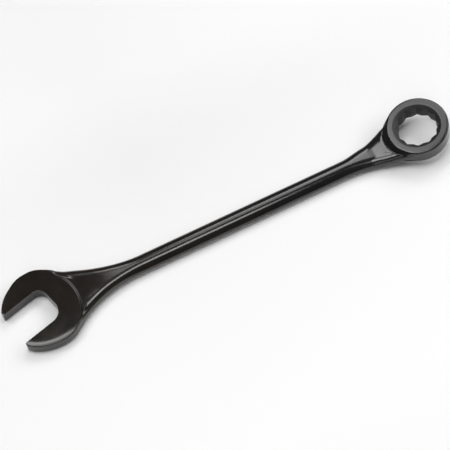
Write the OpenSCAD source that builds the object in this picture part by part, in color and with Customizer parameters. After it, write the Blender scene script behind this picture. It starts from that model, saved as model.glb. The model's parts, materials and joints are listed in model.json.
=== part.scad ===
// Long-pattern combination wrench: an open end turned 15 degrees in plan, an oval shank and a
// raised 12-point box end. The real tool is one drop forging. Its three named regions meet face
// to face on two flat planes across the oval shank.
// The frame: +X along the shank towards the box end, +Z up, the origin under the middle of the
// wrench's own box, on the plane of its lowest face.

/* [Size] */
// Nominal size across the flats of the bolt head
wrench_size = 50.8; // [42:0.2:60]
// Room that both ends leave around the nominal size
size_clearance = 0.3; // [0.1:0.05:0.6]
// Distance between the centres of the two ends
centre_distance = 561; // [460:1:680]

/* [Open end] */
// Depth of the jaws, from their inner flats to the side of the head's round outline
jaw_depth = 31.25; // [24:0.25:38]
// Thickness between the open head's flat faces
open_head_thickness = 17; // [13:0.5:18.5]
// Rounding of the open head's outer edges
open_head_edge = 2.6; // [1.5:0.1:5]
// Turn of the jaws from the shank's line
jaw_angle = 15; // [0:0.5:20]
// How far the flat tips of the jaws cut back from the head's round outline
tip_cut = 10.8; // [6:0.2:14]
// Turn of the plane that the tips are cut on, which leaves the right jaw the longer one
tip_turn = 3; // [0:0.5:6]
// Distance from the head's centre forward to the centre of a seated bolt head
seat_forward = 13.3; // [10:0.1:18]
// Corner radius at the bottom of the throat
throat_corner = 15; // [8:0.5:18]
// Radius of the flat coined face, which ends in a low curved step on the neck
coined_face_radius = 67.5; // [62:0.5:75]
// Distance from the head's centre forward to the centre of the coined face
coined_face_forward = 19; // [14:0.5:24]

/* [Shank] */
// Width of the oval shank
shank_width = 25; // [20:0.5:30]
// Thickness of the oval shank
shank_thickness = 16.5; // [13:0.5:20]

/* [Open neck] */
// Thickness of the flat neck behind the open head
open_neck_thickness = 19.4; // [19:0.1:22]
// Radius of the neck's sweep into the head on the left side, +Y
open_neck_arc_left = 205; // [150:1:260]
// Radius of the neck's sweep into the head on the right side, -Y
open_neck_arc_right = 165; // [130:1:220]

/* [Box end] */
// Wall from the socket's points to the outside of the ring
ring_wall = 13.5; // [10:0.25:18]
// Thickness of the ring along its own axis
ring_thickness = 25.2; // [20:0.2:30]
// Rounding of the ring's outer edges
ring_edge = 2.4; // [2:0.1:6]
// Tilt of the ring, which lifts its far side
ring_tilt = 10; // [7.5:0.5:15]
// Height of the ring's centre above the shank's middle plane
ring_rise = 14.9; // [8:0.1:20]
// How far the sloping mouth spreads past the socket's points at the ring's face
mouth_lip = 3.1; // [1:0.1:5]
// Slope of the mouth, measured from the ring's face
mouth_slope = 32; // [20:1:45]
// Turn of the socket's points from the shank's line
socket_turn = -11; // [-15:1:15]
// Radius of the neck's sweep into the ring
box_neck_arc = 200; // [140:1:260]
// Thickness of the neck where it meets the ring
box_neck_thickness = 16; // [13:0.5:20]

/* [Hidden] */
$fn = 96;
opening = wrench_size + size_clearance;
socket_point = opening / 2 / cos(30);
socket_crest = opening / 2 / cos(15);
open_head_radius = opening / 2 + jaw_depth;
jaw_reach = open_head_radius - tip_cut;
throat_depth = socket_point - seat_forward;
ring_radius = socket_point + ring_wall;
mouth_radius = socket_point + mouth_lip;
section_steps = 36;      // points round one cross-section
neck_steps = 13;         // cross-sections along one neck
oval_power = 2.1;        // 2 is an ellipse, more is a fuller oval
flat_power = 3.6;        // the fuller section of the flattened necks
neck_lead = 5;           // straight stretch of each neck before its sweep starts
bury = 0.1;              // the necks' coined cut lies this far inside the head's face
past = 5;                // how far a cutting shape runs past what it cuts
open_neck_sink = 0.54;   // the neck ends this part of the radius behind the head's centre
open_neck_flat = 1.3;    // and has its full thickness from here in
box_neck_sink = 0.56;    // the box neck ends inside the ring's wall
box_neck_bend = 1.98;    // and starts to rise this many radii from the ring's centre

// Where a sweep of radius arc, tangent to the shank's side and to a round head, starts
function sweep_start(head_radius, arc) =
    sqrt(pow(head_radius + arc, 2) - pow(shank_width / 2 + arc, 2));
// Half width of the neck on one side at distance d from the head's centre
function sweep_half_width(d, start, arc) =
    d >= start ? shank_width / 2
               : shank_width / 2 + arc - sqrt(arc * arc - pow(start - d, 2));
// 0 at t = 0 and 1 at t = 1, level at both
function ease(t) = let(u = max(0, min(1, t))) u * u * (3 - 2 * u);
function blend(a, b, t) = a + (b - a) * ease(t);
function signed_power(v, p) = abs(v) < 1e-9 ? 0 : sign(v) * pow(abs(v), p);

// One cross-section across the shank's line: a superellipse with its own half widths to the left
// and right, thickness, height of its middle and fullness
function section(left, right, thickness, height, power) = [
    for (i = [0:section_steps - 1])
        let(a = i * 360 / section_steps, c = signed_power(cos(a), 2 / power))
            [c * (c > 0 ? left : right), height + thickness / 2 * signed_power(sin(a), 2 / power)]
];

open_left_start = sweep_start(open_head_radius, open_neck_arc_left);
open_right_start = sweep_start(open_head_radius, open_neck_arc_right);
box_start = sweep_start(ring_radius, box_neck_arc);
open_cut = max(open_left_start, open_right_start) + neck_lead;
box_cut = box_start + neck_lead;
open_neck_end = open_head_radius * open_neck_sink;
open_flat_at = open_head_radius * open_neck_flat;
box_neck_end = ring_radius * box_neck_sink;
box_rise_from = ring_radius * box_neck_bend;

// The wrench's own box, from which the frame's origin follows
ring_half_x = (ring_radius - ring_edge) * cos(ring_tilt)
    + (ring_thickness / 2 - ring_edge) * sin(ring_tilt) + ring_edge;
ring_half_z = (ring_radius - ring_edge) * sin(ring_tilt)
    + (ring_thickness / 2 - ring_edge) * cos(ring_tilt) + ring_edge;
tip_half_angle = acos(jaw_reach / open_head_radius);
head_half_x = open_head_radius * cos(max(0, tip_half_angle + tip_turn - jaw_angle));
middle_x = (ring_half_x - centre_distance - head_half_x) / 2;
low_z = min(-open_neck_thickness / 2, ring_rise - ring_half_z);

// Draws in the working frame: the ring's centre over x = 0, the shank's middle plane at z = 0
module in_frame() {
    translate([-middle_x, 0, -low_z]) children();
}

// A skin over cross-sections, each [x, points], from the shank's end towards a head
module loft(sections) {
    n = section_steps;
    rows = len(sections);
    points = [for (s = sections) for (p = s[1]) [s[0], p[0], p[1]]];
    sides = [
        for (r = [0:rows - 2]) for (i = [0:n - 1])
            let(j = (i + 1) % n) [r * n + i, (r + 1) * n + i, (r + 1) * n + j, r * n + j]
    ];
    near_cap = [for (i = [0:n - 1]) i];
    far_cap = [for (i = [0:n - 1]) (rows - 1) * n + n - 1 - i];
    polyhedron(points = points, faces = concat(sides, [near_cap], [far_cap]), convexity = 4);
}

// A disc with rounded outer edges, centred on the origin
module rounded_disc(radius, thickness, edge) {
    flat = radius - edge;
    rotate_extrude() union() {
        translate([0, -thickness / 2]) square([flat, thickness]);
        translate([0, -thickness / 2 + edge]) square([radius, thickness - 2 * edge]);
        for (side = [-1, 1]) intersection() {
            translate([flat, side * (thickness / 2 - edge)]) circle(r = edge);
            translate([0, -thickness / 2]) square([radius + past, thickness]);
        }
    }
}

// The throat and the jaw opening in plan: the jaws point along +X here
module jaw_opening_outline() {
    half = opening / 2;
    reach = jaw_reach + past;
    union() {
        translate([throat_corner - throat_depth, -half])
            square([reach + throat_depth - throat_corner, opening]);
        translate([-throat_depth, throat_corner - half])
            square([reach + throat_depth, opening - 2 * throat_corner]);
        for (side = [-1, 1])
            translate([throat_corner - throat_depth, side * (half - throat_corner)])
                circle(r = throat_corner);
    }
}

// The neck behind the open head, from its cut plane on the shank into the head
module open_neck() {
    loft([
        for (i = [0:neck_steps - 1])
            let(
                d = open_cut + (open_neck_end - open_cut) * i / (neck_steps - 1),
                t = (open_left_start - d) / (open_left_start - open_flat_at)
            )
                [-d, section(
                    sweep_half_width(d, open_left_start, open_neck_arc_left),
                    sweep_half_width(d, open_right_start, open_neck_arc_right),
                    blend(shank_thickness, open_neck_thickness, t), 0,
                    blend(oval_power, flat_power, t))]
    ]);
}

module open_end_head() {
    cutter_height = open_neck_thickness;
    color([0.13, 0.13, 0.135]) in_frame() translate([-centre_distance, 0, 0])
        difference() {
            union() {
                difference() {
                    mirror([1, 0, 0]) open_neck();
                    rotate([0, 0, jaw_angle]) for (side = [-1, 1])
                        translate([-coined_face_forward, 0,
                                   side * (open_head_thickness / 2 - bury + cutter_height / 2)])
                            cylinder(r = coined_face_radius, h = cutter_height, center = true);
                }
                rounded_disc(open_head_radius, open_head_thickness, open_head_edge);
            }
            rotate([0, 0, 180 + jaw_angle]) {
                translate([0, 0, -open_neck_thickness]) linear_extrude(2 * open_neck_thickness)
                    jaw_opening_outline();
                rotate([0, 0, -tip_turn])
                    translate([jaw_reach, -open_head_radius, -open_neck_thickness])
                        cube([open_head_radius, 2 * open_head_radius, 2 * open_neck_thickness]);
            }
        }
}

// The straight oval bar between the two necks
module shank() {
    half = shank_width / 2;
    color([0.17, 0.165, 0.17]) in_frame() translate([-centre_distance + open_cut, 0, 0])
        rotate([90, 0, 90]) linear_extrude(centre_distance - open_cut - box_cut)
            polygon(section(half, half, shank_thickness, 0, oval_power));
}

// The neck behind the ring, which rises as it widens
module box_neck() {
    loft([
        for (i = [0:neck_steps - 1])
            let(
                d = box_cut + (box_neck_end - box_cut) * i / (neck_steps - 1),
                half = sweep_half_width(d, box_start, box_neck_arc),
                t = (box_start - d) / (box_start - ring_radius)
            )
                [-d, section(half, half,
                    blend(shank_thickness, box_neck_thickness, t),
                    ring_rise * ease((box_rise_from - d) / box_rise_from),
                    blend(oval_power, flat_power, t))]
    ]);
}

// The 12-point hole in plan: two hexagons turned 30 degrees from each other
module socket_outline() {
    polygon([
        for (i = [0:23])
            let(a = i * 15, r = i % 2 == 0 ? socket_crest : socket_point) [r * cos(a), r * sin(a)]
    ]);
}

module box_end_head() {
    mouth_depth = mouth_radius * tan(mouth_slope);
    color([0.13, 0.13, 0.135]) in_frame() difference() {
        union() {
            box_neck();
            translate([0, 0, ring_rise]) rotate([0, -ring_tilt, 0])
                rounded_disc(ring_radius, ring_thickness, ring_edge);
        }
        translate([0, 0, ring_rise]) rotate([0, -ring_tilt, 0]) {
            translate([0, 0, -ring_thickness]) rotate([0, 0, socket_turn])
                linear_extrude(2 * ring_thickness) socket_outline();
            for (side = [0, 180]) rotate([side, 0, 0])
                translate([0, 0, ring_thickness / 2 - mouth_depth])
                    cylinder(r1 = 0, r2 = 2 * mouth_radius, h = 2 * mouth_depth);
        }
    }
}

open_end_head();
shank();
box_end_head();
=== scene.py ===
# %% [markdown]
# # A long combination wrench in black steel
#
# A combination wrench is one drop forging: a bar of steel is hammered between two dies, the two
# ends are coined flat and cut to size, and the whole tool is tumbled and blackened. It has no
# moving part and no joint, so here it is one closed skin: a ring, a jaw and an oval bar, made
# apart with bmesh operators and then bridged into one mesh. A rough shape under a subdivision
# modifier would be as soft, but it has no true flats and circles, and a tool is made of those.

import json
import math

import bmesh
import bpy
from mathutils import Matrix, Vector


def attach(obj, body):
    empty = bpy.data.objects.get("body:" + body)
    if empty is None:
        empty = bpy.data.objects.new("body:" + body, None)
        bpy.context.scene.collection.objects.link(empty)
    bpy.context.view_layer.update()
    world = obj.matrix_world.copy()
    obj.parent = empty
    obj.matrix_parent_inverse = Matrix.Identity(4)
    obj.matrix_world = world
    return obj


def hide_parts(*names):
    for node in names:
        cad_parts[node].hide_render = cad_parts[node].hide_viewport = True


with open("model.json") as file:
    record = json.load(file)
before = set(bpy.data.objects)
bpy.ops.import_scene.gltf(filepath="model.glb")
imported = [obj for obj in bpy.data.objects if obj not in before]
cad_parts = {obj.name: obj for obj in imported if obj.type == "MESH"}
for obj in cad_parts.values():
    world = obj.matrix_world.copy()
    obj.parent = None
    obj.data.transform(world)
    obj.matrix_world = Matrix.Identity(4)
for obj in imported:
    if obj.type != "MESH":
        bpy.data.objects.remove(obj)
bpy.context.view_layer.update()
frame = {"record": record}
mounts = {m["name"]: m for m in frame["record"]["mounts"]}

# %% [markdown]
# ## The sizes of the tool
#
# Everything is worked out in millimetres and brought down to metres at the very end. The sizes
# that several steps share are here, and the others stand where they are first needed. The places
# of the two ends come from the frame's own mounts, so the visible skin lies where the solids do.

# %% Shared sizes
OPENING = 51.1            # across the flats, both ends
SHANK_WIDTH, SHANK_THICK = 25.0, 16.5
HEAD_R, HEAD_THICK = 56.8, 17.0
RING_R, RING_THICK = 43.0, 25.2
BOX_NECK_THICK = 16.0
half_head, half_ring = HEAD_THICK / 2, RING_THICK / 2
print("opening", OPENING, "bar", SHANK_WIDTH, "by", SHANK_THICK, "ring", 2 * RING_R, "mm")

# %% Places and turns of the two ends
MOUNT_AHEAD = 14          # the jaws' mount lies this far in front of the head's centre
jaw_axis = Vector(mounts["open_jaws"]["axis"])
head_centre = Vector(mounts["open_jaws"]["pos_m"]) * 1000 - jaw_axis * MOUNT_AHEAD
ring_centre = Vector(mounts["box_socket"]["pos_m"]) * 1000
ring_axis = Vector(mounts["box_socket"]["axis"])
TILT = math.atan2(-ring_axis.x, ring_axis.z)
BACK = math.atan2(-jaw_axis.y, -jaw_axis.x)
print("head", head_centre[:], "ring", ring_centre[:], "tilt", round(math.degrees(TILT), 2),
      "jaws turned", round(math.degrees(BACK), 2))


# %% Small helpers for easing and mixing
def ease(t):
    """Goes from 0 to 1 with a level start and a level end."""
    t = max(0.0, min(1.0, t))
    return t * t * (3 - 2 * t)


def mix(a, b, t):
    """The value a share t of the way from a to b."""
    return a + (b - a) * t


print("a quarter of the way, eased:", ease(0.25))

# %% [markdown]
# ## The count of points round the bar
#
# The bar is a tube of equal loops. Each loop has 49 points over its top, 49 under its bottom and
# 10 down each side. The windows that are cut in the two heads have the same count, so each
# bridge between a head and the bar is one clean row of four-sided faces. A boolean union needs
# no count, but it leaves long thin faces, and glossy steel shows every one of them.

# %% Points round one loop
ACROSS, SIDE = 48, 11
ROUND = 2 * (ACROSS + SIDE)
print("points round a loop:", ROUND)

# %% [markdown]
# ## The box end
#
# The ring is a turned shape, so its section is spun once round its axis. The spin gives a plain
# round hole; each column of it is then slid out to the 12-point star, and the sloping mouth runs
# in until it meets the star's walls, which leaves the scalloped edge that a broached socket has.
# On the shank's side the rounded shoulder is drawn out into a soft step that the neck runs into.
# Cutting the star with a boolean would be shorter, but it leaves thin faces beside each point.


# %% The 12-point star
def star_radius(angle):
    """Radius of the 12-point hole at an angle from one of its crests."""
    crest = OPENING / 2 / math.cos(math.radians(15))
    point = OPENING / 2 / math.cos(math.radians(30))
    a = math.radians(abs((math.degrees(angle) + 15) % 30 - 15))
    p = Vector((crest, 0))
    q = Vector((point * math.cos(math.radians(15)), point * math.sin(math.radians(15))))
    n = Vector((q.y - p.y, p.x - q.x))
    return n.dot(p) / (n.x * math.cos(a) + n.y * math.sin(a))


print("crests at", round(star_radius(0), 2), "points at", round(star_radius(math.radians(15)), 2))

# %% The rows of the ring's section
SHOULDER = 8              # rows over each rounded edge

# Each row is (its kind, how far along that kind it is, 1 on the upper side or -1 on the lower).
ring_rows = [("lip", f, 1) for f in (1, 0.84, 0.68, 0.5, 0.34, 0.18)]
ring_rows += [("face", f, 1) for f in (0, 0.15, 0.5, 0.85, 1)]
ring_rows += [("shoulder", s / SHOULDER, 1) for s in range(1, SHOULDER + 1)]
ring_rows += [("wall", w / SIDE, 0) for w in range(1, SIDE)]
ring_rows += [("shoulder", s / SHOULDER, -1) for s in range(SHOULDER, 0, -1)]
ring_rows += [("face", f, -1) for f in (1, 0.85, 0.5, 0.15, 0)]
ring_rows += [("lip", f, -1) for f in (0.18, 0.34, 0.5, 0.68, 0.84, 1)]
ring_rows += [("mouth", f, -1) for f in (0.3, 0.65, 1)]
ring_rows += [("bore", f, 0) for f in (-0.94, -0.5, 0, 0.5, 0.94)]
ring_rows += [("mouth", f, 1) for f in (1, 0.65, 0.3)]
print("ring rows", len(ring_rows))

# %% The mouth's soft edge
MOUTH_R, MOUTH_SLOPE = 32.6, math.radians(32)
LIP_OUT, LIP_IN = 33.7, 31.7   # where the soft edge starts and ends


def lip(t):
    """The soft edge, from the ring's face at t = 0 to the mouth's sloping wall at t = 1."""
    bottom = half_ring - (MOUTH_R - LIP_IN) * math.tan(MOUTH_SLOPE)
    r = (1 - t) ** 2 * LIP_OUT + 2 * t * (1 - t) * MOUTH_R + t * t * LIP_IN
    z = (1 - t * t) * half_ring + t * t * bottom
    return r, z


print("the soft edge ends", round(half_ring - lip(1)[1], 2), "mm below the face")

# %% The ring's shoulders
RING_EDGE = 4.5           # the lower edges are well rounded
TOP_EDGE = 2.4            # and the upper ones are ground sharper
SKIRT = 4.6               # the step over the neck reaches this far past the wall
FADE_END, FADE = 57, 32   # degrees from the neck's line where the step is gone, and its fading


def ring_edge(side):
    """The rounding of the ring's edge, above or below."""
    return TOP_EDGE if side > 0 else RING_EDGE


def window_fade(angle):
    """1 over the neck, falling to 0 where the neck's sides flow into the ring's wall."""
    off = abs(math.degrees(angle) % 360 - 180)
    return ease((FADE_END - off) / FADE)


def shoulder(angle, t, side):
    """A rounded edge, drawn out into a soft step over the neck."""
    a = t * math.pi / 2
    edge = ring_edge(side)
    r = RING_R - edge + edge * math.sin(a)
    z = half_ring - edge + edge * math.cos(a)
    f = window_fade(angle)
    drop = half_ring - BOX_NECK_THICK / 2
    slope = half_ring - drop * (0.25 * ease(t) + 0.75 * t)
    return mix(r, RING_R - edge + (edge + SKIRT) * t, f), side * mix(z, slope, f)


print("the step over the neck ends at", round(shoulder(math.pi, 1, 1)[0], 2), "mm")

# %% A point of the ring from its column and row
RING_COLS = 144
RING_TURN = math.radians(-11)   # the socket's points are turned this far from the shank's line


def ring_point(angle, row):
    """Radius and height of a point, in the ring's own frame."""
    kind, t, side = row
    if kind == "face":
        return mix(LIP_OUT, RING_R - ring_edge(side), t), side * half_ring
    if kind == "lip":
        return lip(t)[0], side * lip(t)[1]
    if kind == "shoulder":
        return shoulder(angle, t, side)
    if kind == "wall":
        return RING_R, mix(half_ring - ring_edge(1), ring_edge(-1) - half_ring, t)
    r_star = star_radius(angle - RING_TURN)
    z_star = half_ring - (MOUTH_R - r_star) * math.tan(MOUTH_SLOPE)
    if kind == "mouth":
        return mix(LIP_IN, r_star, t), side * mix(lip(1)[1], z_star, t)
    return r_star, z_star * t


print("ring columns", RING_COLS)

# %% The plain section that is spun
PLAIN_BORE, PLAIN_TOP = 28.0, half_ring - 3   # a round hole and a mouth that stand in for the star
wall_top = half_ring - RING_EDGE


def plain_section(row):
    """The turned section before the star is cut: a distinct place for each row."""
    kind, t, side = row
    if kind == "mouth":
        return mix(LIP_IN, PLAIN_BORE, t), side * mix(lip(1)[1], PLAIN_TOP, t)
    if kind == "bore":
        return PLAIN_BORE, PLAIN_TOP * t
    if kind == "lip":
        return lip(t)[0], side * lip(t)[1]
    if kind == "face":
        return mix(LIP_OUT, RING_R - RING_EDGE, t), side * half_ring
    if kind == "shoulder":
        a = t * math.pi / 2
        r = RING_R - RING_EDGE + RING_EDGE * math.sin(a)
        return r, side * (wall_top + RING_EDGE * math.cos(a))
    return RING_R, wall_top * (1 - 2 * t)


print("places in the plain section", len({plain_section(row) for row in ring_rows}))


# %% Spin the ring
def spun(sections, turn, steps, closed):
    """Spins a closed section about Z and hands back the mesh with each vertex's column and row."""
    bm = bmesh.new()
    start = [bm.verts.new((r, 0, z)) for r, z in sections]
    edges = [bm.edges.new((start[i], start[(i + 1) % len(start)])) for i in range(len(start))]
    bmesh.ops.spin(bm, geom=start + edges, cent=(0, 0, 0), axis=(0, 0, 1), dvec=(0, 0, 0),
                   angle=turn, steps=steps, use_merge=closed, use_duplicate=False)
    if closed:
        bmesh.ops.remove_doubles(bm, verts=bm.verts, dist=0.001)
    places = {}
    for v in bm.verts:
        angle = math.atan2(v.co.y, v.co.x) % (2 * math.pi)
        col = round(angle / (turn / steps))
        if closed:
            col %= steps
        r, z = math.hypot(v.co.x, v.co.y), v.co.z
        row = min(range(len(sections)),
                  key=lambda i: (sections[i][0] - r) ** 2 + (sections[i][1] - z) ** 2)
        places[v] = (col, row)
    assert len(set(places.values())) == len(places), "two vertices share a place"
    return bm, places


ring_bm, ring_places = spun([plain_section(r) for r in ring_rows], 2 * math.pi, RING_COLS, True)
print("ring vertices", len(ring_bm.verts))

# %% Slide the ring's columns to their places
for v, (col, row) in ring_places.items():
    kind, t, side = ring_rows[row]
    angle = col * 2 * math.pi / RING_COLS
    inner = {"lip": t, "mouth": 1, "bore": 1}.get(kind, 0)
    a = angle + RING_TURN * inner
    r, z = ring_point(a if inner == 1 else angle, ring_rows[row])
    v.co = Vector((r * math.cos(a), r * math.sin(a), z))
print("ring reaches", round(max(v.co.xy.length for v in ring_bm.verts), 2), "mm from its axis")


# %% Open a window in the ring's wall for the neck
def cut_window(bm, places, cols, rows):
    """Deletes the faces between two columns and two rows."""
    inside = [f for f in bm.faces
              if all(cols[0] <= places[v][0] <= cols[1] and rows[0] <= places[v][1] <= rows[1]
                     for v in f.verts)]
    bmesh.ops.delete(bm, geom=inside, context="FACES")
    return len(inside)


ring_cols = (RING_COLS // 2 - ACROSS // 2, RING_COLS // 2 + ACROSS // 2)
ring_wall = (ring_rows.index(("shoulder", 1.0, 1)), ring_rows.index(("shoulder", 1.0, -1)))
print("faces taken out of the ring:", cut_window(ring_bm, ring_places, ring_cols, ring_wall))


# %% Break the socket's corners
def break_corners(bm, edges, width, rounds):
    """A narrow bevel along cut edges, as tumbling leaves."""
    made = bmesh.ops.bevel(bm, geom=edges, offset=width, offset_type="OFFSET", segments=rounds,
                           profile=0.5, affect="EDGES", clamp_overlap=True, material=-1)
    return len(made["faces"])


SOCKET_BREAK = 0.35
socket_corners = [e for e in ring_bm.edges if not e.is_boundary
                  and all(v.co.xy.length < LIP_IN - 0.1 for v in e.verts)
                  and e.calc_face_angle(0) > math.radians(22)]
print("socket corners", len(socket_corners),
      "bevel faces", break_corners(ring_bm, socket_corners, SOCKET_BREAK, 2))

# %% [markdown]
# ## The open end
#
# The jaw is a bar bent round the opening like a letter U: its section is spun round the head's
# centre, and each column is then stretched from the jaw's inner outline, two flats and a rounded
# throat, to the head's round outside. Behind the throat the flat coined face stops on a circle
# that is larger than the head, and the neck stands a little above it. Extruding a flat outline
# would be quicker, but it gives no rows of points that can follow the rounded rim.

# %% The opening: two flats and a rounded throat
THROAT = 16.2             # the throat's flat back, from the head's centre
LEFT_CORNER, RIGHT_CORNER = 13.0, 18.0


def opening_point(beta):
    """The opening's outline where a ray from the head's centre meets it.

    beta is the ray's angle from the throat's middle line, so the jaws open at 180 degrees."""
    half, c, s = OPENING / 2, math.cos(beta), math.sin(beta)
    corner = LEFT_CORNER if s > 0 else RIGHT_CORNER
    if c > 0 and abs(s / c) * THROAT <= half - corner:
        return Vector((THROAT, THROAT * s / c))
    centre = Vector((THROAT - corner, math.copysign(half - corner, s)))
    along = Vector((c, s)).dot(centre)
    gap = along * along - centre.length_squared + corner * corner
    if gap >= 0:
        hit = Vector((c, s)) * (along + math.sqrt(gap))
        if hit.x >= centre.x:
            return hit
    return Vector((half * c / abs(s), math.copysign(half, s)))


print("the flats are", round(opening_point(2).y - opening_point(-2).y, 2), "mm apart")

# %% The head's outside
# Each place is (degrees from the throat's middle line, radius), and the outline eases between them.
OUTLINE = ((-150, 56.2), (-115, 55.8), (-82, 57.2), (-60, 56.1), (0, 54.7), (46, 55.5), (67, 57.0),
           (84, 56.2), (112, 53.5), (150, 53.6))


def outline_radius(beta):
    """The outside is not quite round: fuller beside the neck, slimmer before the left tip."""
    a = math.degrees(beta)
    for (a0, r0), (a1, r1) in zip(OUTLINE, OUTLINE[1:]):
        if a <= a1:
            return mix(r0, r1, ease((a - a0) / (a1 - a0)))
    return OUTLINE[-1][1]


print("head radius straight back", round(outline_radius(0), 2), "mm")

# %% The two jaw tips
JAW_REACH, TIP_TURN = 46.0, math.radians(3)   # where the tips are cut off, and at what slant


def tip_angles(side):
    """Where a jaw's tip starts outside and ends inside, as angles from the middle line."""
    outside = outline_radius(side * math.radians(145))
    outer = math.pi - math.acos(JAW_REACH / outside) - side * TIP_TURN
    reach = (JAW_REACH - side * OPENING / 2 * math.sin(TIP_TURN)) / math.cos(TIP_TURN)
    inner = math.pi - math.atan2(OPENING / 2, reach)
    return outer, inner


TIPS = {1: tip_angles(1), -1: tip_angles(-1)}
print("tips at", {side: [round(math.degrees(a), 1) for a in TIPS[side]] for side in TIPS})

# %% The jaw's columns, from the left tip to the right one
LEFT_END, RIGHT_END = 56.5, -53.5   # the neck joins between these angles from the shank's line
LEFT_EDGE, RIGHT_EDGE = math.radians(LEFT_END), math.radians(RIGHT_END)
LEFT_COLS, RIGHT_COLS = 44, 34
JAW_COLS = LEFT_COLS + ACROSS + RIGHT_COLS


def jaw_angle_of(col):
    """Angle of a column from the throat's middle line."""
    left, right = TIPS[1][0], -TIPS[-1][0]
    if col <= LEFT_COLS:
        return mix(left, LEFT_EDGE - BACK, col / LEFT_COLS)
    if col <= LEFT_COLS + ACROSS:
        return mix(LEFT_EDGE - BACK, RIGHT_EDGE - BACK, (col - LEFT_COLS) / ACROSS)
    return mix(RIGHT_EDGE - BACK, right, (col - LEFT_COLS - ACROSS) / RIGHT_COLS)


print("jaw columns", JAW_COLS)

# %% The coined face's edge behind the throat
COIN_R, COIN_FORWARD = 67.5, 19.0   # the coining die's radius, and its centre before the head's
HEAD_EDGE = 1.6                     # rounding of the head's rim


def coin_radius(phi):
    """Radius of the coined face's edge, at an angle from the shank's line."""
    b = COIN_FORWARD * math.cos(phi - BACK - math.pi)
    return b + math.sqrt(b * b + COIN_R ** 2 - COIN_FORWARD ** 2)


def coin_edge(phi, t):
    """The same edge over the neck, with t from 0 at its left end to 1 at its right.

    It starts flush with the head's rim at the left, and comes back to it at the right."""
    flush = outline_radius(phi - BACK) - HEAD_EDGE
    limit = flush + 2.0 * ((math.degrees(phi) - RIGHT_END) / 13.5) ** 2
    return mix(flush, min(coin_radius(phi), limit), ease(t * ACROSS / 4))


print("coined edge behind the throat", round(coin_radius(BACK), 2))

# %% The rows of the jaw's section
JAW_EDGE = 4
face_steps = (0, 0.03, 0.12, 0.3, 0.5, 0.68, 0.79, 0.86, 0.91, 0.955, 1)
jaw_rows = [("face", f, 1) for f in face_steps]
jaw_rows += [("edge", e / JAW_EDGE, 1) for e in range(1, JAW_EDGE + 1)]
jaw_rows += [("wall", w / 3, 0) for w in (1, 2)]
jaw_rows += [("edge", e / JAW_EDGE, -1) for e in range(JAW_EDGE, 0, -1)]
jaw_rows += [("face", f, -1) for f in reversed(face_steps)]
jaw_rows += [("inside", f, 0) for f in (-0.9, -0.45, 0, 0.45, 0.9)]
print("jaw rows", len(jaw_rows))

# %% The right jaw's slight crown
CROWN, CROWN_REACH = 0.36, 6.0   # its faces fall away by this much over the last stretch


def crown(col, to_rim):
    """How far the face has dropped, this far from the rim; nothing where the neck joins."""
    away = max(LEFT_COLS - col, col - LEFT_COLS - ACROSS, 0)
    side = 0.0 if col < LEFT_COLS else 1.0
    return CROWN * side * max(0.0, 1 - to_rim / CROWN_REACH) ** 2 * ease(away / 12)


print("crown at the right tip", round(crown(JAW_COLS, 0), 2), "mm")

# %% A point of the jaw from its column and row
JAW_SHIFT = -0.5          # the opening is cut a little to the right of the head's middle
edge_top = half_head - HEAD_EDGE


def ray(beta, length):
    """The point at an angle and a distance from the head's centre."""
    return Vector((math.cos(beta), math.sin(beta))) * length


def jaw_point(col, row):
    """A point of the jaw in the head's frame, with X back along the throat's middle line."""
    kind, t, side = row
    beta = jaw_angle_of(col)
    outer_end, inner_end = TIPS[1 if beta > 0 else -1]
    inner = opening_point(beta * inner_end / outer_end) + Vector((0, JAW_SHIFT))
    outer = ray(beta, outline_radius(beta))
    line = (inner - outer).normalized()
    slant = max(0.3, -line.dot(outer) / outer.length)
    rim = outer + line * HEAD_EDGE / slant
    in_window = (col - LEFT_COLS) / ACROSS
    if 0 <= in_window <= 1:
        rim = ray(beta, coin_edge(beta + BACK, in_window))
    if kind == "face":
        p = inner.lerp(rim, t)
        z = side * (half_head - crown(col, (rim - p).length))
    elif kind == "edge":
        a = t * math.pi / 2
        p = rim.lerp(outer, math.sin(a))
        z = side * (edge_top + (HEAD_EDGE - crown(col, 0)) * math.cos(a))
    elif kind == "wall":
        p, z = outer, edge_top * (1 - 2 * t)
    else:
        p, z = inner, half_head * t
    return Vector((p.x, p.y, z))


print("left tip's corner", [round(c, 2) for c in jaw_point(0, ("wall", 0.5, 0))])

# %% Bend the jaw
PLAIN_INSIDE = 26.0       # a round inside that stands in for the opening
SPIN = math.radians(290)


def plain_bar(row):
    """The bar's section before it is stretched: a distinct place for each row."""
    kind, t, side = row
    if kind == "face":
        return mix(PLAIN_INSIDE, HEAD_R - HEAD_EDGE, t), side * half_head
    if kind == "edge":
        a = t * math.pi / 2
        r = HEAD_R - HEAD_EDGE * (1 - math.sin(a))
        return r, side * (edge_top + HEAD_EDGE * math.cos(a))
    if kind == "wall":
        return HEAD_R, edge_top * (1 - 2 * t)
    return PLAIN_INSIDE, half_head * t


jaw_bm, spun_places = spun([plain_bar(r) for r in jaw_rows], SPIN, JAW_COLS, False)
jaw_places = {v: (JAW_COLS - col, row) for v, (col, row) in spun_places.items()}
for v, (col, row) in jaw_places.items():
    v.co = jaw_point(col, jaw_rows[row])
print("jaw vertices", len(jaw_bm.verts))

# %% Open a window in the jaw's rim for the neck
jaw_cols = (LEFT_COLS, LEFT_COLS + ACROSS)
jaw_wall = (jaw_rows.index(("face", 1, 1)), jaw_rows.index(("face", 1, -1)))
print("faces taken out of the jaw:", cut_window(jaw_bm, jaw_places, jaw_cols, jaw_wall))

# %% Close the two jaw tips
tip_edges = [e for e in jaw_bm.edges if e.is_boundary
             and len({jaw_places[v][0] for v in e.verts}) == 1
             and jaw_places[e.verts[0]][0] in (0, JAW_COLS)]
caps = bmesh.ops.edgeloop_fill(jaw_bm, edges=tip_edges)["faces"]
print("tip faces", len(caps))

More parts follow.
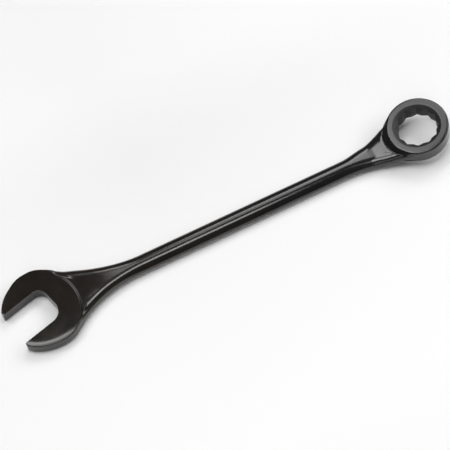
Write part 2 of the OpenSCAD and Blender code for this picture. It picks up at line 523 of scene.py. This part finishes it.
# %% Break the jaws' cut corners
JAW_BREAK = 1.9
rims = (jaw_rows.index(("face", 0, 1)), jaw_rows.index(("face", 0, -1)))
jaw_corners = [e for e in jaw_bm.edges if not e.is_boundary
               and (e in tip_edges or all(jaw_places[v][1] in rims for v in e.verts)
                    and jaw_places[e.verts[0]][1] == jaw_places[e.verts[1]][1])]
print("jaw corners", len(jaw_corners),
      "bevel faces", break_corners(jaw_bm, jaw_corners, JAW_BREAK, 4))

# %% [markdown]
# ## The bar and its two necks
#
# The bar starts as one circle of points that is extruded loop by loop into a plain tube. Each
# loop is then set to its own oval: the middle is a soft ellipse, and towards each head the tube
# widens along an arc tangent to the head, flattens, and ends on that head's window. A curve with
# a bevel would make the middle as well, but not the two ends, whose loops change their shape.


# %% Where a point of the loop is
def loop_place(k):
    """Which stretch of the loop point k is on, and how far along it, from 0 to 1."""
    for name, count in (("top", ACROSS), ("right", SIDE), ("bottom", ACROSS), ("left", SIDE)):
        if k < count or (name == "left" and k == count):
            return name, k / count
        k -= count
    return "top", 0.0


print("half way round the loop:", loop_place(ROUND // 2))

# %% The bar's oval
OVAL, FLAT = 2.1, 3.6     # powers of the bar's oval and of the necks': 2 is a plain ellipse


def oval_point(k, power):
    """Point k of a superellipse in a box of -1 to 1: (towards +Y, up)."""
    corner = 2 ** (-1 / power)

    def fall(v):
        """How high the oval is at v across, or how far across at v up."""
        return (1 - abs(v) ** power) ** (1 / power)

    name, t = loop_place(k)
    v = corner * (1 - 2 * t)
    return {"top": (v, fall(v)), "right": (-fall(v), v),
            "bottom": (-v, -fall(v)), "left": (fall(v), -v)}[name]


def bar_point(k, x):
    """Point k of the straight bar's loop at x."""
    across, up = oval_point(k, OVAL)
    return Vector((x, across * SHANK_WIDTH / 2, head_centre.z + up * SHANK_THICK / 2))


print("middle of the bar's top", [round(c, 2) for c in bar_point(ACROSS // 2, 0)])

# %% [markdown]
# ## The two necks
#
# Forging spreads the bar into each head, and the dies leave a smooth flare whose sides are arcs
# that touch both the bar and the head. A neck could be lofted from a few drawn sections, but a
# formula that mixes the head's window into the bar's oval keeps every loop in step with the
# next. The open neck ends in a low curved step, and the box neck climbs a ramp to its ring.

# %% The arcs of the necks
ARC_LEFT, ARC_RIGHT, ARC_BOX = 205.0, 165.0, 200.0


def tangent_start(radius, arc):
    """How far from a head's centre the arc touches the bar's straight side."""
    return math.sqrt((radius + arc) ** 2 - (SHANK_WIDTH / 2 + arc) ** 2)


def half_width(d, radius, arc):
    """Half width of a neck at distance d from the head's centre: an arc tangent to both."""
    start = tangent_start(radius, arc)
    if d >= start:
        return SHANK_WIDTH / 2
    return SHANK_WIDTH / 2 + arc - math.sqrt(arc * arc - (start - d) ** 2)


OPEN_CUT = max(tangent_start(HEAD_R, ARC_LEFT), tangent_start(HEAD_R, ARC_RIGHT)) + 5
BOX_CUT = tangent_start(RING_R, ARC_BOX) + 5
print("the necks are", round(OPEN_CUT, 1), "and", round(BOX_CUT, 1), "mm long from the centres")


# %% The loop that ends on the open head's window
def over_top(name, t):
    """For a point over or under the neck: its place from left to right, and its side."""
    return (t, 1) if name == "top" else (1 - t, -1)


def open_end_loop(k):
    """The open head's window: (distance from the head's centre, towards +Y, up)."""
    name, t = loop_place(k)
    if name in ("top", "bottom"):
        t, side = over_top(name, t)
        phi = mix(LEFT_EDGE, RIGHT_EDGE, t)
        r = coin_edge(phi, t)
        return r * math.cos(phi), r * math.sin(phi), side * half_head
    phi = RIGHT_EDGE if name == "right" else LEFT_EDGE
    step = round(t * SIDE)
    if name == "left":
        step = SIDE - step
    kinds = [("edge", e / JAW_EDGE, 1) for e in range(JAW_EDGE + 1)]
    kinds += [("wall", 1 / 3, 0), ("wall", 2 / 3, 0)]
    kinds += [("edge", e / JAW_EDGE, -1) for e in range(JAW_EDGE, -1, -1)]
    r, z = plain_bar(kinds[step])
    r += outline_radius(phi - BACK) - HEAD_R
    return r * math.cos(phi), r * math.sin(phi), z


print("first point of the open end", [round(c, 2) for c in open_end_loop(0)])

# %% The loop that ends on the ring's window
WINDOW_ENDS = 120, 240    # the window's first and last angle round the ring, in degrees


def box_end_loop(k):
    """The ring's window in the ring's own plane: (towards the shank, towards +Y, up)."""
    name, t = loop_place(k)
    if name in ("top", "bottom"):
        t, side = over_top(name, t)
        angle = math.radians(mix(*WINDOW_ENDS, t))
        r, z = ring_point(angle, ("shoulder", 1.0, side))
    else:
        angle = math.radians(WINDOW_ENDS[1] if name == "right" else WINDOW_ENDS[0])
        down = t if name == "right" else 1 - t
        r, z = ring_point(angle, ("wall", down, 0))
    return -r * math.cos(angle), r * math.sin(angle), z


print("first point of the box end", [round(c, 2) for c in box_end_loop(0)])

# %% The open neck
NECK_THICK = 19.4
STEP = NECK_THICK / 2 - half_head
BROW = 3.6                # the step's foot is sharp, and its brow is rounded over this length
LEFT_TRIM = 1.5           # the left side is this much slimmer than its arc, near the head


def rounded(t):
    """Rises from 0 to 1, steep at first and level at the end."""
    t = max(0.0, min(1.0, t))
    return 1 - (1 - t) ** 2


def open_width(across, d):
    """Half width of the open neck, whose left and right arcs differ."""
    return half_width(d, HEAD_R, ARC_LEFT if across > 0 else ARC_RIGHT)


def open_neck_point(k, along):
    """The open neck, with along from 0 at the head to 1 at the straight bar."""
    x0, y0, z0 = open_end_loop(k)
    name, t = loop_place(k)
    d = mix(x0, OPEN_CUT, along)
    start = tangent_start(HEAD_R, ARC_LEFT)
    flat = ease((start - d) / (start - HEAD_R * 1.3))
    thick, power = mix(SHANK_THICK, NECK_THICK, flat), mix(OVAL, FLAT, flat)
    power = mix(power, 4.2, ease(1 - along / 0.5))
    rise = 0.0
    if name in ("top", "bottom"):
        u = over_top(name, t)[0]
        rise = STEP * ease(u * ACROSS / 8) * ease((1 - u) * ACROSS / 5)
    s = (d - x0) / BROW
    lift = 0.68 * rounded(s * 3) + 0.32 * rounded(s)
    across0 = y0 / open_width(y0, x0)
    up0 = (z0 + math.copysign(rise * lift, z0)) / (NECK_THICK / 2)
    across1, up1 = oval_point(k, power)
    b = ease(along / 0.14)
    across, up = mix(across0, across1, b), mix(up0, up1, b)
    y = across * open_width(across, d)
    if across > 0:
        y -= across * LEFT_TRIM * ease((d - 32) / 6) * ease((62 - d) / 18)
    return head_centre + Vector((d, y, up * thick / 2))


print("the neck stands", round(STEP, 2), "mm above the coined face")

# %% The height of the box neck
BOX_RISE = 14.9           # the ring's centre stands this far above the bar's middle
RAMP_FROM, RAMP_TO = 36.0, 77.0   # the steep stretch starts and ends here


def ramp_height(d):
    """Height of the neck's middle: along the ring's tilt, then smoothly down to the bar's."""
    if d < RAMP_FROM:
        return BOX_RISE - d * math.tan(TILT)
    length = RAMP_TO - RAMP_FROM
    t = min(1.0, (d - RAMP_FROM) / length)
    top = BOX_RISE - RAMP_FROM * math.tan(TILT)
    return top * (1 - ease(t)) - math.tan(TILT) * length * t * (1 - t) ** 2


print("half way down the ramp:", round(ramp_height((RAMP_FROM + RAMP_TO) / 2), 2), "mm")


# %% The box neck
def hump(d, middle, reach):
    """1 at the middle, 0 at the reach either side."""
    return ease(1 - abs(d - middle) / reach)


def side_swell(across, d):
    """How much fuller than its arc the neck's left or right side is, in millimetres."""
    if across > 0:
        return 1.1 * hump(d, 88, 20) - 1.2 * hump(d, 34, 12)
    return 0.8 * hump(d, 54, 14)


def box_neck_point(k, along):
    """The box neck, with along from 0 at the ring to 1 at the straight bar."""
    x0, y0, z0 = box_end_loop(k)
    d = mix(x0 * math.cos(TILT), BOX_CUT, along)
    start = tangent_start(RING_R, ARC_BOX)
    flat = ease((start - d) / (start - RING_R))
    thick, power = mix(SHANK_THICK, BOX_NECK_THICK, flat), mix(OVAL, FLAT, flat)
    power = mix(power, 4.4, ease(1 - along / 0.5))
    across0 = y0 / half_width(x0, RING_R, ARC_BOX)
    up0 = z0 / (BOX_NECK_THICK / 2)
    across1, up1 = oval_point(k, power)
    b = ease(along / 0.16)
    across, up = mix(across0, across1, b), mix(up0, up1, b)
    lean = TILT * (1 - ease(along / 0.7))
    y = across * half_width(mix(x0, BOX_CUT, along), RING_R, ARC_BOX)
    y += across * side_swell(across, d)
    up *= thick / 2
    base = ring_centre - Vector((0, 0, BOX_RISE))
    return base + Vector((-d - up * math.sin(lean), y, ramp_height(d) + up * math.cos(lean)))


print("top of the box neck by the ring", [round(c, 2) for c in box_neck_point(ACROSS // 2, 0)])

# %% [markdown]
# ## The tube
#
# The loops of the tube stand close together beside the heads, where the shape changes fast, and
# further apart on the straight bar. Extruding one circle again and again keeps the tube one
# mesh of four-sided faces, with no loop left to join by hand.

# %% The stations of the tube's loops
stations = [("open", a) for a in (0.0035, 0.007, 0.011, 0.015, 0.02, 0.027, 0.035, 0.044, 0.055)]
stations += [("open", a / 40) for a in range(3, 41)]
bar_from, bar_to = head_centre.x + OPEN_CUT, ring_centre.x - BOX_CUT
stations += [("bar", mix(bar_from, bar_to, i / 36)) for i in range(1, 36)]
stations += [("box", a / 60) for a in range(60, 0, -1)] + [("box", 0.008)]
print("loops", len(stations), "straight bar from", round(bar_from, 1), "to", round(bar_to, 1))

# %% Extrude the tube
bar_bm = bmesh.new()
first = bmesh.ops.create_circle(bar_bm, cap_ends=False, segments=ROUND, radius=1)["verts"]
loop = bar_bm.edges[:]
for _ in stations[1:]:
    grown = bmesh.ops.extrude_edge_only(bar_bm, edges=loop)["geom"]
    moved = [g for g in grown if isinstance(g, bmesh.types.BMVert)]
    ends = set(moved)
    loop = [g for g in grown if isinstance(g, bmesh.types.BMEdge) and ends.issuperset(g.verts)]
    bmesh.ops.translate(bar_bm, verts=moved, vec=(0, 0, 1))
print("tube vertices", len(bar_bm.verts))

# %% Set each loop to its oval
makers = {"open": open_neck_point, "box": box_neck_point, "bar": bar_point}
turned = math.atan2(first[0].co.y, first[0].co.x)
taken = set()
for v in bar_bm.verts:
    angle = (math.atan2(v.co.y, v.co.x) - turned) % (2 * math.pi)
    k = round(angle * ROUND / (2 * math.pi)) % ROUND
    taken.add((k, round(v.co.z)))
    where, value = stations[round(v.co.z)]
    v.co = makers[where](k, value)
assert len(taken) == len(bar_bm.verts), "two points of the bar share a place"
print("places taken", len(taken))

# %% [markdown]
# ## One skin
#
# The real tool has no seam between its heads and its bar. So the three meshes are carried to their
# places, joined in one bmesh and bridged, window to window. Then the valley where the neck meets
# the ring is eased a little, as the fillets of the dies leave it.

# %% Join and bridge
whole = bmesh.new()


def take_in(part, placement):
    """Adds a bmesh to the whole, moved by a matrix."""
    part.transform(placement)
    mesh = bpy.data.meshes.new("part")
    part.to_mesh(mesh)
    part.free()
    whole.from_mesh(mesh)
    bpy.data.meshes.remove(mesh)


take_in(ring_bm, Matrix.Translation(ring_centre) @ Matrix.Rotation(-TILT, 4, "Y"))
take_in(jaw_bm, Matrix.Translation(head_centre) @ Matrix.Rotation(BACK, 4, "Z"))
take_in(bar_bm, Matrix.Identity(4))
open_edges = [e for e in whole.edges if e.is_boundary]
near_head = [e for e in open_edges if e.verts[0].co.x < 0]
near_ring = [e for e in open_edges if e.verts[0].co.x > 0]
print("open edges", len(near_head), len(near_ring))
for pair in (near_head, near_ring):
    made = bmesh.ops.bridge_loops(whole, edges=pair)["faces"]
    print("bridge faces", len(made))
bmesh.ops.recalc_face_normals(whole, faces=whole.faces)
print("still open", sum(e.is_boundary for e in whole.edges),
      "volume cm3", round(whole.calc_volume() / 1000, 1))

# %% Ease the junction of the box neck and the ring
EASE_ROUNDS, EASE_SHARE = 5, 0.4


def from_ring_axis(point):
    """Distance of a point from the ring's axis."""
    off = point - ring_centre
    return (off - ring_axis * off.dot(ring_axis)).length


junction = [v for v in whole.verts
            if v.co.x < ring_centre.x - 8 and RING_R + 0.3 < from_ring_axis(v.co) < 60]
for _ in range(EASE_ROUNDS):
    bmesh.ops.smooth_vert(whole, verts=junction, factor=EASE_SHARE,
                          use_axis_x=True, use_axis_y=True, use_axis_z=True)
print("eased points", len(junction))

# %% [markdown]
# ## Wear
#
# Handling rubs the black off the sharpest outward edges first, and the walls that a broach has
# cut keep its dull marks. A painted mask would need an unwrapped mesh. Here each point carries
# two numbers instead, which the material reads: how sharply the skin bends outward there, and
# whether it lies inside the ring's mouth.

# %% Mark the worn edges and the broached walls
worn = whole.verts.layers.float.new("wear")
matte = whole.verts.layers.float.new("matte")
for v in whole.verts:
    bends = [e.calc_face_angle_signed(0) / max(e.calc_length(), 0.4)
             for e in v.link_edges if len(e.link_faces) == 2]
    v[worn] = ease(max(bends) * 2.2)
    v[matte] = ease((LIP_OUT + 0.6 - from_ring_axis(v.co)) / 2.5)
print("worn points", sum(v[worn] > 0.3 for v in whole.verts),
      "matte points", sum(v[matte] > 0.5 for v in whole.verts))

# %% Bring the skin down to metres
bmesh.ops.scale(whole, vec=(0.001, 0.001, 0.001), verts=whole.verts)
for f in whole.faces:
    f.smooth = True
xs = [v.co.x for v in whole.verts]
print("length in metres", round(max(xs) - min(xs), 4))

# %% The wrench as an object of the frame
skin = bpy.data.meshes.new("wrench_forging")
whole.to_mesh(skin)
whole.free()
wrench = bpy.data.objects.new("wrench_forging", skin)
bpy.context.scene.collection.objects.link(wrench)
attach(wrench, "root")
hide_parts("open_end_head", "shank", "box_end_head")
print("wrench faces", len(skin.polygons))

# %% [markdown]
# ## Black oxide on forged steel
#
# Black oxide is a thin conversion layer: the steel keeps its own surface under it, and reads as a
# very dark grey with a satin gloss. The open end has a warmer, oilier tone than the box end. The
# forging scale and the tumbling leave soft patches and a fine grain, handling rubs the edges a
# little lighter, and the broached walls of the socket stay matte. Painted textures would show the
# same, but noise in the object's own coordinates has no seams and stays sharp close up.

# %% Start the material
steel = bpy.data.materials.new("black_oxide_steel")
steel.use_nodes = True
nodes, links = steel.node_tree.nodes, steel.node_tree.links
shader = nodes["Principled BSDF"]
coords = nodes.new("ShaderNodeTexCoord")
print("material started:", steel.name)


# %% Helpers for noise and ranges
def noise(scale, detail, rough):
    """Noise in the object's coordinates."""
    made = nodes.new("ShaderNodeTexNoise")
    for name, value in (("Scale", scale), ("Detail", detail), ("Roughness", rough)):
        made.inputs[name].default_value = value
    links.new(coords.outputs["Object"], made.inputs["Vector"])
    return made.outputs["Fac"]


def spread(source, low, high, to_low, to_high):
    """Maps a value from one range to another."""
    made = nodes.new("ShaderNodeMapRange")
    ranges = (("From Min", low), ("From Max", high), ("To Min", to_low), ("To Max", to_high))
    for name, value in ranges:
        made.inputs[name].default_value = value
    links.new(source, made.inputs["Value"])
    return made.outputs["Result"]


split = nodes.new("ShaderNodeSeparateXYZ")
links.new(coords.outputs["Object"], split.inputs["Vector"])
along_tool = spread(split.outputs["X"], -0.2, 0.16, 0.0, 1.0)
patches, cloud = noise(26, 5, 0.6), noise(90, 4, 0.55)
grain, scale_marks = noise(750, 5, 0.6), noise(210, 3, 0.5)
print("noises made", sum(n.bl_idname == "ShaderNodeTexNoise" for n in nodes))


# %% Helpers that put values together
def blend(factor, a, b):
    """A colour between two others; each is a plain colour or another node's output."""
    made = nodes.new("ShaderNodeMix")
    made.data_type = "RGBA"
    links.new(factor, made.inputs[0])
    for socket, value in ((made.inputs[6], a), (made.inputs[7], b)):
        if isinstance(value, tuple):
            socket.default_value = value
        else:
            links.new(value, socket)
    return made.outputs[2]


def combine(operation, a, b):
    """Adds or multiplies two values; each is a plain number or another node's output."""
    made = nodes.new("ShaderNodeMath")
    made.operation = operation
    for socket, value in zip(made.inputs, (a, b)):
        if isinstance(value, (int, float)):
            socket.default_value = value
        else:
            links.new(value, socket)
    return made.outputs[0]


def layer(name):
    """A value that each vertex of the skin carries."""
    made = nodes.new("ShaderNodeAttribute")
    made.attribute_name = name
    return made.outputs["Fac"]


rubbed = combine("MULTIPLY", layer("wear"), spread(cloud, 0.38, 0.62, 0.15, 1.0))
print("nodes so far", len(nodes))

# %% The steel's colour
WARM, WARM_DARK = (0.0175, 0.0145, 0.0110, 1), (0.0115, 0.0098, 0.0078, 1)
COOL, COOL_DARK = (0.0130, 0.0128, 0.0122, 1), (0.0088, 0.0088, 0.0088, 1)
RUBBED = (0.040, 0.037, 0.033, 1)
warm = blend(spread(patches, 0.35, 0.65, 0, 1), WARM, WARM_DARK)
cool = blend(spread(patches, 0.35, 0.65, 0, 1), COOL, COOL_DARK)
links.new(blend(rubbed, blend(along_tool, warm, cool), RUBBED), shader.inputs["Base Color"])
shader.inputs["Specular IOR Level"].default_value = 0.6
shader.inputs["Metallic"].default_value = 0.0
print("nodes with the colour", len(nodes))

# %% The steel's gloss
WEAR_DULLS, BROACH_DULLS = 0.06, 0.42
gloss = combine("ADD", spread(cloud, 0.3, 0.7, 0.105, 0.145), spread(grain, 0.3, 0.7, -0.015, 0.02))
gloss = combine("ADD", gloss, combine("MULTIPLY", rubbed, WEAR_DULLS))
gloss = combine("ADD", gloss, combine("MULTIPLY", layer("matte"), BROACH_DULLS))
links.new(gloss, shader.inputs["Roughness"])
print("nodes with the gloss", len(nodes))

# %% The steel's relief
# Each bump is (its noise, its depth in metres, its strength): soft scale marks, then fine grain.
normal = None
for height, depth, strength in ((scale_marks, 0.00012, 0.10), (grain, 0.00006, 0.35)):
    bump = nodes.new("ShaderNodeBump")
    bump.inputs["Strength"].default_value = strength
    bump.inputs["Distance"].default_value = depth
    links.new(height, bump.inputs["Height"])
    if normal:
        links.new(normal, bump.inputs["Normal"])
    normal = bump.outputs["Normal"]
links.new(normal, shader.inputs["Normal"])
skin.materials.append(steel)
print("material nodes", len(nodes))

# %% [markdown]
# ## Floor, light and camera
#
# Dark glossy steel has hardly any colour of its own: what shows is the studio that it mirrors. So
# each light is a level panel under the ceiling, and its place decides which of the wrench's faces
# shine. One panel high over the tool would light it too, but every face would look the same. The
# floor is white and rough, so it stays even, and a small black card stands in for the dark cloths
# that a studio hangs up to keep a face of the steel deep and calm.


# %% Floor
def dull_material(name, shade, roughness):
    """A plain grey or white surface for the stage."""
    made = bpy.data.materials.new(name)
    made.use_nodes = True
    inputs = made.node_tree.nodes["Principled BSDF"].inputs
    inputs["Base Color"].default_value = (shade, shade, shade, 1)
    inputs["Roughness"].default_value = roughness
    return made


bpy.ops.mesh.primitive_plane_add(size=8, location=(0, 0, 0))
floor = bpy.context.object
floor.name = "floor"
floor.data.materials.append(dull_material("pale_floor", 1.0, 0.9))
print("floor", floor.dimensions[:])

# %% Camera
AZIMUTH, ELEVATION, ROLL = math.radians(-109.89), math.radians(60.83), math.radians(-7.45)
DISTANCE, BAR_HEIGHT = 2.05545, 0.0097
SHIFT_RIGHT, SHIFT_UP = -0.26328, -0.1225   # the picture's middle, from the ring's foot
towards = Vector((math.cos(ELEVATION) * math.cos(AZIMUTH), math.cos(ELEVATION) * math.sin(AZIMUTH),
                  math.sin(ELEVATION)))
level = Vector((0, 0, 1)).cross(towards).normalized()
upright = towards.cross(level)
right = level * math.cos(ROLL) + upright * math.sin(ROLL)
up = upright * math.cos(ROLL) - level * math.sin(ROLL)
aim = Vector((ring_centre.x / 1000, 0, BAR_HEIGHT)) + right * SHIFT_RIGHT + up * SHIFT_UP
camera_data = bpy.data.cameras.new("camera")
camera_data.lens, camera_data.sensor_width = 120, 36
camera = bpy.data.objects.new("camera", camera_data)
turn = Matrix((right, up, towards)).transposed().to_4x4()
camera.matrix_world = Matrix.Translation(aim + towards * DISTANCE) @ turn
bpy.context.scene.collection.objects.link(camera)
bpy.context.scene.camera = camera
print("camera at", [round(c, 3) for c in camera.matrix_world.translation])

# %% Lights
CEILING = 4.0


def softbox(name, x, y, radiance):
    """A level panel under the ceiling that shines straight down, from its ends in X and in Y."""
    data = bpy.data.lights.new(name, "AREA")
    data.shape, data.size, data.size_y = "RECTANGLE", x[1] - x[0], y[1] - y[0]
    data.energy = radiance * math.pi * data.size * data.size_y
    lamp = bpy.data.objects.new(name, data)
    lamp.location = (sum(x) / 2, sum(y) / 2, CEILING)
    bpy.context.scene.collection.objects.link(lamp)
    print(name, "watts", round(data.energy, 1))


softbox("overhead_softbox", (-2.0, 0.9), (-0.3, 0.65), 6.0)
softbox("back_softbox", (0.60, 2.5), (2.8, 4.0), 5.0)
softbox("left_softbox", (-2.8, 0.12), (1.0, 2.4), 5.5)
softbox("right_softbox", (1.12, 2.6), (1.85, 2.9), 3.6)
softbox("middle_card", (0.12, 0.42), (1.75, 2.5), 2.3)
softbox("soft_card", (0.42, 1.12), (1.75, 2.5), 2.8)
softbox("front_card", (-4.0, 0.0), (-8.0, -2.2), 0.9)
softbox("fill_softbox", (3.2, 8.0), (-3.0, 4.0), 3.0)

# %% The room's faint glow
world = bpy.data.worlds.new("studio")
bpy.context.scene.world = world
world.use_nodes = True
background = world.node_tree.nodes["Background"]
background.inputs["Color"].default_value = (1, 1, 1, 1)
background.inputs["Strength"].default_value = 0.05
bpy.context.scene.view_settings.view_transform = "Standard"
print("world", world.name, "strength", round(background.inputs["Strength"].default_value, 3))

# %% A black card that keeps the left softbox out of the open head's faces
bpy.ops.mesh.primitive_plane_add(size=1, location=(-0.225, 0.54, 1.0))
black_card = bpy.context.object
black_card.name = "black_card"
black_card.data.transform(Matrix.Diagonal((0.39, 0.32, 1, 1)))
black_card.data.materials.append(dull_material("black_card", 0.01, 1.0))
black_card.visible_camera = False
print("black card", black_card.location[:])
